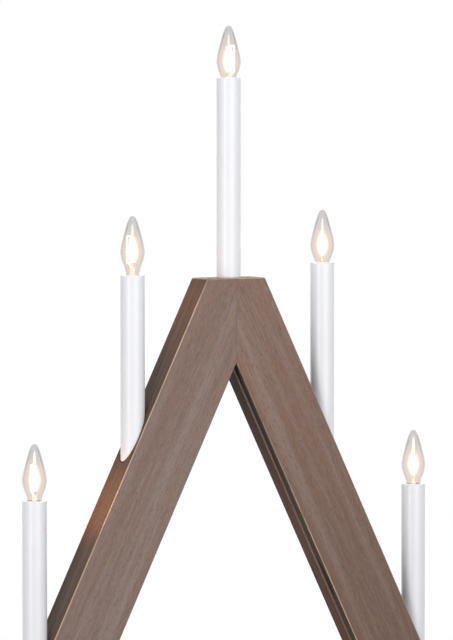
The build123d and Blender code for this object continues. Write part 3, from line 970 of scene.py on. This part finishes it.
@dataclass
class Bulb:
    """The flame-shaped bulb with its cap, mount and lit strip. Heights are from the lamp's datum."""

    width: float = 16.0 * MM
    height: float = 38.5 * MM
    wall: float = 0.7 * MM
    tip: float = 2.3 * MM
    neck: float = 4.1 * MM
    neck_end: float = -2.6 * MM
    cap_top: float = -0.6 * MM
    collar: float = 4.55 * MM
    collar_height: float = 2.0 * MM
    barrel: float = 4.3 * MM
    sheet: float = 0.35 * MM
    thread: float = 0.55 * MM
    thread_middle: float = 4.2 * MM
    pitch: float = 1.814 * MM
    turns: float = 3.4
    cap_end: float = -11.2 * MM
    cap_foot: float = 3.6 * MM
    cap_hole: float = 2.5 * MM
    cap_taper: float = 0.6 * MM
    cap_lip: float = 0.12 * MM
    pinch: Triple = (3.4 * MM, 1.4 * MM, 2.4 * MM)
    pinch_top: float = 5.4 * MM
    strip: Triple = (3.0 * MM, 1.6 * MM, 17.8 * MM)
    strip_foot: float = 7.4 * MM
    lead_offset: float = 1.1 * MM
    lead_radius: float = 0.3 * MM
    rail_offset: float = 3.6 * MM
    rail_radius: float = 0.45 * MM
    outline: Tuple[Point, ...] = (
        (0.03, 0.555), (0.10, 0.625), (0.17, 0.73), (0.25, 0.88), (0.375, 1.00),
        (0.50, 0.925), (0.65, 0.745), (0.79, 0.56), (0.88, 0.43),
    )

    def skin(self, inset: float) -> List[Point]:
        """One wall of the glass, from the neck to the tip.

        Args:
            inset: Distance inside the outer wall.

        Returns:
            Points as radius and height.
        """
        points = [(self.neck - inset, self.neck_end), (self.neck - inset, self.cap_top)]
        points += [(wide * self.width / 2 - inset, high * self.height) for high, wide in self.outline]
        middle = self.height - self.tip
        round_end = [
            ((self.tip - inset) * math.cos(angle), middle + (self.tip - inset) * math.sin(angle))
            for angle in (math.radians(22 + 17 * step) for step in range(5))
        ]
        points = eased([*points, *round_end[:1]], 5)
        return points[:-1] + round_end[:4] + [(0.0, self.height - inset)]

    def glass(self) -> Piece:
        """Turn the glass, with a true inner wall, and store each point's height for its material.

        Returns:
            The glass, at the origin.
        """
        outline = self.skin(self.wall)[::-1] + self.skin(0.0)
        piece = turned("glass_pattern", outline, steps=80, smooth=50)
        rise = piece.data.attributes.new("rise", "FLOAT", "POINT")
        rise.data.foreach_set("value", [point.co.z / self.height for point in piece.data.vertices])
        return piece

    def cap(self) -> Piece:
        """Turn the thin brass cap and wind its thread round it.

        Returns:
            The cap, at the origin.
        """
        inner, mouth, lip = self.barrel - self.sheet, self.collar - self.sheet, self.cap_lip
        collar_end = self.cap_top - self.collar_height
        thread_end = self.cap_end + self.cap_taper
        outline = [
            (mouth, self.cap_top - lip), (self.collar - self.sheet / 2, self.cap_top),
            (self.collar, self.cap_top - lip), (self.collar, collar_end + lip),
            (self.collar - lip, collar_end), (self.barrel, collar_end - lip), (self.barrel, thread_end),
            (self.cap_foot, self.cap_end), (self.cap_hole, self.cap_end), (self.cap_hole, thread_end),
            (inner - lip, thread_end), (inner, thread_end + lip), (inner, collar_end),
            (mouth, collar_end + lip), (mouth, self.cap_top - lip),
        ]
        shell = turned("cap_pattern", outline, steps=64, smooth=35)
        ridge = self.ridge(thread_end + self.thread + 0.2 * MM)
        modify(shell, "BOOLEAN", operation="UNION", solver="EXACT", object=ridge)
        remove(ridge)
        pick(shell)
        bpy.ops.object.shade_smooth_by_angle(angle=math.radians(45))
        return shell

    def ridge(self, start: float) -> Piece:
        """Wind the round ridge of the thread.

        Args:
            start: Height of its lower end.

        Returns:
            The ridge as a closed coil.
        """
        deselect()
        bpy.ops.mesh.primitive_circle_add(vertices=12, radius=self.thread, fill_type="NGON")
        coil = bpy.context.active_object
        coil.name = "thread_pattern"
        edit_all()
        bpy.ops.transform.rotate(value=math.pi / 2, orient_axis="X", center_override=(0, 0, 0))
        bpy.ops.transform.translate(value=(self.thread_middle, 0, start))
        bpy.ops.mesh.delete(type="ONLY_FACE")
        bpy.ops.object.mode_set(mode="OBJECT")
        steps = int(40 * self.turns)
        modify(coil, "SCREW", axis="Z", angle=math.tau * self.turns,
               screw_offset=self.pitch * self.turns, steps=steps, render_steps=steps)
        bpy.ops.object.mode_set(mode="EDIT")
        bpy.ops.mesh.select_all(action="DESELECT")
        bpy.ops.mesh.select_mode(type="EDGE")
        bpy.ops.mesh.select_non_manifold()
        bpy.ops.mesh.fill_holes(sides=0)
        bpy.ops.mesh.select_mode(type="VERT")
        mend()
        bpy.ops.object.mode_set(mode="OBJECT")
        return coil

    def stem(self) -> Piece:
        """Turn the glass mount's flare and join its flat pinch.

        Returns:
            The mount, at the origin.
        """
        flare = self.neck - self.wall - 0.08 * MM
        slope = [
            (flare - 0.3 * MM, -1.7 * MM), (2.3 * MM, -0.6 * MM),
            (1.7 * MM, 0.7 * MM), (1.6 * MM, 1.8 * MM),
        ]
        outline = [
            (0.0, self.neck_end), (flare, self.neck_end), (flare, -2.0 * MM), *eased(slope, 4),
            (1.6 * MM, 3.1 * MM), (1.3 * MM, 3.4 * MM), (0.0, 3.4 * MM),
        ]
        body = turned("stem_pattern", outline, steps=40)
        middle = (0, 0, self.pinch_top - self.pinch[2] / 2)
        pinch = bar("pinch_pattern", self.pinch, middle, bevel=0.35 * MM)
        return joined("stem_pattern", body, pinch)

    def light(self) -> Tuple[Piece, Piece, Piece]:
        """Make the lit strip, the rail beside it, and the lead and end tabs that carry it.

        Returns:
            The strip, the rail and the carrier.
        """
        wide, thick, tall = self.strip
        strip_top = self.strip_foot + tall
        middle = (0, 0, self.strip_foot + tall / 2)
        strip = bar("strip_pattern", (wide, thick, tall - 1.0 * MM), middle, bevel=0.3 * MM)
        root = self.pinch_top - 0.5 * MM
        swing = self.pinch_top + 0.35 * MM
        corners = [
            (self.lead_offset, root), (self.lead_offset, swing),
            (self.rail_offset, swing + self.rail_offset - self.lead_offset),
            (self.rail_offset, strip_top), (0.0, strip_top),
        ]
        rail = wire("rail_pattern", rounded(corners, radius=0.6 * MM), self.rail_radius)
        path = [(-self.lead_offset, end) for end in (root, self.strip_foot + 0.3 * MM)]
        lead = wire("lead", path, self.lead_radius)
        tabs = [
            bar("tab", (wide * 0.8, thick * 0.7, 0.8 * MM), (0, 0, end), bevel=0.15 * MM)
            for end in (self.strip_foot + 0.35 * MM, strip_top - 0.3 * MM)
        ]
        return strip, rail, joined("carrier_pattern", lead, *tabs)


@dataclass
class Candles:
    """All candles of the arch: tubes on the frame and bulbs on their own bodies."""

    seats: Tuple[Seat, ...] = (
        Seat("left_low", 202.0, 0.155, 19.5),
        Seat("left_mid", 149.0, 0.06, 48.0),
        Seat("top", -31.0),
        Seat("right_mid", 60.0, 0.06, 48.0),
        Seat("right_low", 55.0, 0.155, 19.5),
    )
    tube: CandleTube = field(default_factory=CandleTube)
    bulb: Bulb = field(default_factory=Bulb)
    shine_power: float = 0.013
    wood_shine_spread: float = 80.0
    shine_colour: Colour = (1.0, 0.47, 0.11)

    def build(self, finishes: "Finishes") -> None:
        """Model each kind of piece once, copy it to each seat and dress it.

        Args:
            finishes: The materials.
        """
        strip, rail, carrier = self.bulb.light()
        patterns = {
            "candle_tube": (self.tube.build(), "tube_plastic"),
            "bulb_glass": (self.bulb.glass(), "bulb_glass"),
            "bulb_cap": (self.bulb.cap(), "cap_brass"),
            "bulb_stem": (self.bulb.stem(), "stem_glass"),
        }
        lit = ((strip, "lit_strip"), (rail, "lit_rail"), (carrier, "lead_metal"))
        for pattern, slot in (*patterns.values(), *lit):
            pattern.data.materials.append(finishes.get(slot))
        patterns["led_filament"] = (joined("strip_pattern", strip, rail, carrier), "lit_strip")
        for seat in self.seats:
            for kind, (pattern, slot) in patterns.items():
                turn = seat.strip_turn if kind in ("bulb_stem", "led_filament") else 0.0
                place = seat.rim if kind == "candle_tube" else seat.lamp(self.bulb.height)
                piece = copied(pattern, f"shown_{seat.name}_{kind}", place, turn)
                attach(piece, "frame" if kind == "candle_tube" else f"{seat.name}_bulb")
                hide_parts(f"{seat.name}_{kind}")
                if kind == "bulb_glass":
                    piece.visible_shadow = False
                LOG.info("made %s", piece.name)
            self.shine(seat)
        remove(*[pattern for pattern, _ in patterns.values()])

    def shine(self, seat: Seat) -> None:
        """Cast the lit strip's light all round it, and most of it on the board that it stands on.

        Args:
            seat: The candle.
        """
        x, y, z = seat.lamp(self.bulb.height)
        drop = math.radians(seat.wood_shine_drop)
        towards = Vector((-math.copysign(math.cos(drop), x), 0, -math.sin(drop)))
        middle = Vector((x, y, z + self.bulb.strip_foot + self.bulb.strip[2] / 2))
        for kind, power in (("POINT", self.shine_power), ("SPOT", seat.wood_shine)):
            data = bpy.data.lights.new(f"{seat.name}_{kind.lower()}_shine", kind)
            data.energy, data.color = power, self.shine_colour
            data.shadow_soft_size = self.bulb.width / 3
            place = middle
            if kind == "SPOT":
                data.spot_size, data.spot_blend = math.radians(self.wood_shine_spread), 1.0
                data.shadow_soft_size = self.bulb.width / 12
                place = middle + towards * self.bulb.width / 3
            lamp = aimed(data, place, towards)
            lamp.visible_camera = lamp.visible_glossy = lamp.visible_transmission = False


@dataclass
class FeltPads:
    """Felt discs under the feet."""

    radius: float = 9.0 * MM
    thick: float = 2.0 * MM
    frayed: float = 0.08 * MM

    def build(self, finishes: "Finishes") -> None:
        """Turn one disc with a soft edge, fray it, and copy it under each end of the feet.

        Args:
            finishes: The materials.
        """
        low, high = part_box("felt_pads")
        soft = self.thick / 4
        outline = [
            (0.0, soft / 5), (self.radius * 0.5, soft / 5), (self.radius - soft, soft / 5),
            (self.radius - soft / 3, soft / 2), (self.radius - soft / 4, self.thick / 2),
            (self.radius - soft / 3, self.thick - soft / 2), (self.radius - soft, self.thick),
            (0.0, self.thick),
        ]
        disc = turned("pad_pattern", outline, steps=40, smooth=60)
        edit_all()
        bpy.ops.transform.vertex_random(offset=self.frayed, uniform=0.5, seed=4)
        bpy.ops.object.mode_set(mode="OBJECT")
        pads = [
            copied(disc, "pad", (x, y, 0.0))
            for x in (low.x + self.radius, high.x - self.radius)
            for y in (low.y + self.radius, high.y - self.radius)
        ]
        remove(disc)
        piece = joined("shown_felt_pads", *pads)
        piece.data.materials.append(finishes.get("felt"))
        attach(piece, "frame")
        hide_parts("felt_pads")
        LOG.info("made %s", piece.name)


class Finishes:
    """All materials, made once, and the choice of one for each CAD node."""

    def __init__(self) -> None:
        """Make every finish."""
        # Boards and strips get painted shade below the apex, the boards also a painted shadow line
        # round each tube
        board = {"painted_crotch_shade": 0.45, "seam": 0.4, "bore_shadow": 0.8}
        strip = {"painted_crotch_shade": 0.45, "edge_wear_and_highlight": 0.4, "side_painted_shade": (0.45, 0.27, 0.18)}
        # Every wood gets painted shade on its narrow faces
        woods = (
            StainedWood("left_board_wood", Grain.LEFT_BOARD, (0.31, 0.02, 0.10), **board,
                        tint=(1.10, 1.11, 1.14), side_painted_shade=(0.43, 0.385, 0.355)),
            # The right board gets painted shade towards its lower end, and a stronger painted highlight
            # on its rubbed edges
            StainedWood("right_board_wood", Grain.RIGHT_BOARD, (1.27, 0.05, 0.47), **board,
                        tint=(1.10, 1.02, 0.97), side_painted_shade=(0.44, 0.38, 0.35), low_painted_shade=0.80,
                        edge_wear_and_highlight=1.4),
            StainedWood("left_strip_wood", Grain.LEFT_BOARD, (2.11, 0.30, 0.20), **strip),
            StainedWood("right_strip_wood", Grain.RIGHT_BOARD, (2.73, 0.41, 0.60), **strip),
            StainedWood("foot_wood", Grain.CROSS_FOOT, (0.70, 0.90, 0.30)),
        )
        beech = StainedWood("dowel_wood", Grain.DOWEL, deep=(0.42, 0.28, 0.17),
                            body=(0.58, 0.42, 0.27), pale=(0.66, 0.51, 0.35),
                            russet=(0.55, 0.36, 0.22), edge_wear_and_highlight=0.0)
        others = (
            MouldedPlastic("tube_plastic", (0.845, 0.85, 0.88), 0.32, coat=0.12, mottle=0.015),
            MouldedPlastic("holder_plastic", (0.76, 0.75, 0.72), 0.45),
            MouldedPlastic("wire_insulation", (0.78, 0.77, 0.74), 0.5, mottle=0.05),
            MouldedPlastic("base_insulator", (0.03, 0.03, 0.032), 0.2, mottle=0.2),
            MouldedPlastic("bushing_rubber", (0.032, 0.032, 0.034), 0.7, mottle=0.25,
                           texture=0.06 * MM),
            SheetMetal("brass", (0.78, 0.56, 0.25), (0.52, 0.35, 0.15), 0.30),
            SheetMetal("cap_brass", (0.82, 0.60, 0.28), (0.60, 0.41, 0.18), 0.26),
            SheetMetal("screw_steel", (0.62, 0.62, 0.60), (0.42, 0.42, 0.40), 0.34),
            SheetMetal("splice_metal", (0.70, 0.70, 0.68), (0.50, 0.50, 0.48), 0.36),
            SheetMetal("lead_metal", (0.70, 0.62, 0.52), (0.52, 0.42, 0.32), 0.30),
            # Warm tints are painted light of the strip, the grey tip and rims painted shade, and the
            # glow painted light
            ClearGlass("bulb_glass", foot=(0.87, 0.82, 0.79), belly=(0.90, 0.835, 0.79),
                       tip=(0.80, 0.79, 0.79), belly_rim_painted_shade=(0.62, 0.57, 0.54),
                       tip_rim_painted_shade=(0.40, 0.39, 0.39), glow=0.22),
            # The glass mount and the rail emit painted light of the strip; only the strip is a lamp
            LitPatches("stem_glass", ((0.97, 0.92, 0.86), (0.94, 0.72, 0.46)), 0.25,
                       stretch=(800, 800, 800), detail=1.0, limits=(0.50, 0.60), roughness=0.1,
                       clear=1.0, bending=1.03),
            LitPatches("lit_strip", ((1.0, 0.86, 0.64), (1.0, 0.76, 0.48)), 4.0),
            LitPatches("lit_rail", ((1.0, 0.93, 0.80), (1.0, 0.88, 0.70)), 1.2),
            PressedFelt("felt", (0.055, 0.045, 0.040), (0.15, 0.125, 0.11)),
        )
        self.materials: Dict[str, Material] = {
            finish.name: finish.make() for finish in (*woods, beech, *others)
        }

    def get(self, name: str) -> Material:
        """The material of that name."""
        return self.materials[name]

    def for_node(self, node: str, slot: str) -> Material:
        """Choose the finish of a CAD node.

        Args:
            node: Name of the node.
            slot: The record's material slot of that node.

        Returns:
            The material.
        """
        side = "left" if node.startswith("left") else "right"
        by_slot = {"cover_wood": f"{side}_strip_wood", "stained_wood": f"{side}_board_wood"}
        if node.endswith("_foot"):
            return self.get("foot_wood")
        return self.get(by_slot.get(slot, slot))

    def dress_nodes(self) -> None:
        """Give every CAD node its finish."""
        slots = {row["node"]: row["material_slot"] for row in frame["record"]["subparts"]}
        for name, node in frame["nodes"].items():
            node.data.materials.clear()
            node.data.materials.append(self.for_node(name, slots[name]))
            LOG.info("dressed %s", name)


@dataclass(frozen=True)
class Softbox:
    """A soft lamp that faces the arch, placed by azimuth and elevation in degrees and by reach in
    metres.
    """

    name: str
    azimuth: float
    elevation: float
    reach: float
    size: Point
    power: float
    aim_height: float = 0.3

    def hang(self) -> None:
        """Hang the lamp where the camera and the glass don't show it."""
        data = bpy.data.lights.new(self.name, "AREA")
        data.shape = "RECTANGLE"
        data.size, data.size_y = self.size
        data.energy = self.power
        a, e = math.radians(self.azimuth), math.radians(self.elevation)
        back = Vector((math.sin(a) * math.cos(e), -math.cos(a) * math.cos(e), math.sin(e)))
        lamp = aimed(data, Vector((0, 0, self.aim_height)) + back * self.reach, -back)
        lamp.visible_camera = lamp.visible_transmission = False


@dataclass
class Studio:
    """Plain soft light, a pale floor, a white background and the camera."""

    aim_height: float = 0.368
    distance: float = 3.0
    swing: float = 30.63
    rise: float = 2.34
    focal_px: float = 4530.0
    centre_px: Point = (228.6, 277.35)
    image_px: Point = (453.0, 640.0)
    sensor: float = 36.0
    ambient: float = 0.43
    floor_bounce: float = 0.40
    floor_radius: float = 1.1
    floor_plain: float = 0.25
    floor_sink: float = 0.3 * MM
    softboxes: Tuple[Softbox, ...] = (
        Softbox("left_softbox", -68.0, 10.0, 3.0, (1.1, 2.6), 33.0),
        Softbox("right_softbox", 6.0, 6.0, 3.0, (2.2, 3.0), 47.0),
        Softbox("top_softbox", -30.0, 78.0, 2.6, (2.0, 2.0), 13.0),
        Softbox("back_softbox", 155.0, 32.0, 3.0, (1.8, 2.0), 34.0),
    )

    def camera(self) -> None:
        """Place the camera at the photograph's viewing angle."""
        swing, rise = math.radians(self.swing), math.radians(self.rise)
        level = math.cos(rise)
        forward = Vector((math.sin(swing) * level, math.cos(swing) * level, -math.sin(rise)))
        right = Vector((math.cos(swing), -math.sin(swing), 0))
        up = right.cross(forward)
        off_x = (self.image_px[0] / 2 - self.centre_px[0]) / self.focal_px
        off_y = (self.centre_px[1] - self.image_px[1] / 2) / self.focal_px
        data = bpy.data.cameras.new("camera")
        data.sensor_width = self.sensor
        data.lens = self.focal_px / max(self.image_px) * self.sensor
        place = Vector((0, 0, self.aim_height)) - forward * self.distance
        bpy.context.scene.camera = aimed(data, place, forward + right * off_x + up * off_y)

    def world(self) -> None:
        """White behind the arch, and a dimmer even light on it."""
        world = bpy.data.worlds.new("studio")
        bpy.context.scene.world = world
        world.use_nodes = True
        sheet = NodeSheet(world.node_tree)
        light, white = sheet.add("ShaderNodeBackground"), sheet.add("ShaderNodeBackground")
        light.inputs[0].default_value = (0.97, 0.98, 1.0, 1.0)
        light.inputs[1].default_value = self.ambient
        white.inputs[0].default_value = (1.0, 1.0, 1.0, 1.0)
        both, out = sheet.add("ShaderNodeMixShader"), sheet.add("ShaderNodeOutputWorld")
        sheet.link(sheet.seen_plainly(), both.inputs[0])
        sheet.link(light.outputs[0], both.inputs[1])
        sheet.link(white.outputs[0], both.inputs[2])
        sheet.link(both.outputs[0], out.inputs[0])

    def floor(self) -> None:
        """Lay a pale floor that keeps the shadow and fades into the white background."""
        deselect()
        bpy.ops.mesh.primitive_circle_add(vertices=96, radius=self.floor_radius, fill_type="NGON",
                                          location=(0, 0, -self.floor_sink))
        floor = bpy.context.active_object
        floor.name = "floor"
        sheet = Surface("floor_paint")
        away = sheet.add("ShaderNodeVectorMath", operation="LENGTH")
        sheet.link(sheet.place(), away.inputs[0])
        cloud = sheet.noise(sheet.place(), (6, 6, 6), 2.0)
        paint = sheet.mix(cloud, (0.86, 0.86, 0.86), (0.89, 0.89, 0.89))
        bounced = sheet.add("ShaderNodeLightPath").outputs["Is Diffuse Ray"]
        sheet.dress(Base_Color=sheet.mix(bounced, paint, (self.floor_bounce,) * 3), Roughness=0.8)
        glow = sheet.add("ShaderNodeEmission")
        fade = sheet.span(away.outputs["Value"], self.floor_plain, self.floor_radius * 0.95)
        strength = sheet.span(sheet.seen_plainly(), 0.0, 1.0, self.ambient, 1.0)
        sheet.link(strength, glow.inputs["Strength"])
        both = sheet.add("ShaderNodeMixShader")
        sheet.link(fade, both.inputs[0])
        sheet.link(sheet.shader.outputs[0], both.inputs[1])
        sheet.link(glow.outputs[0], both.inputs[2])
        sheet.link(both.outputs[0], sheet.output.inputs["Surface"])
        floor.data.materials.append(sheet.material)

    def build(self) -> None:
        """Set up the whole studio."""
        bpy.context.scene.view_settings.view_transform = "Standard"
        self.camera()
        self.world()
        self.floor()
        for softbox in self.softboxes:
            softbox.hang()


def main() -> None:
    """Build the studio, the finishes and the pieces in order."""
    logging.basicConfig(level=logging.INFO, format="%(message)s")
    Studio().build()
    finishes = Finishes()
    finishes.dress_nodes()
    Candles().build(finishes)
    FeltPads().build(finishes)


if __name__ == "__main__":
    main()
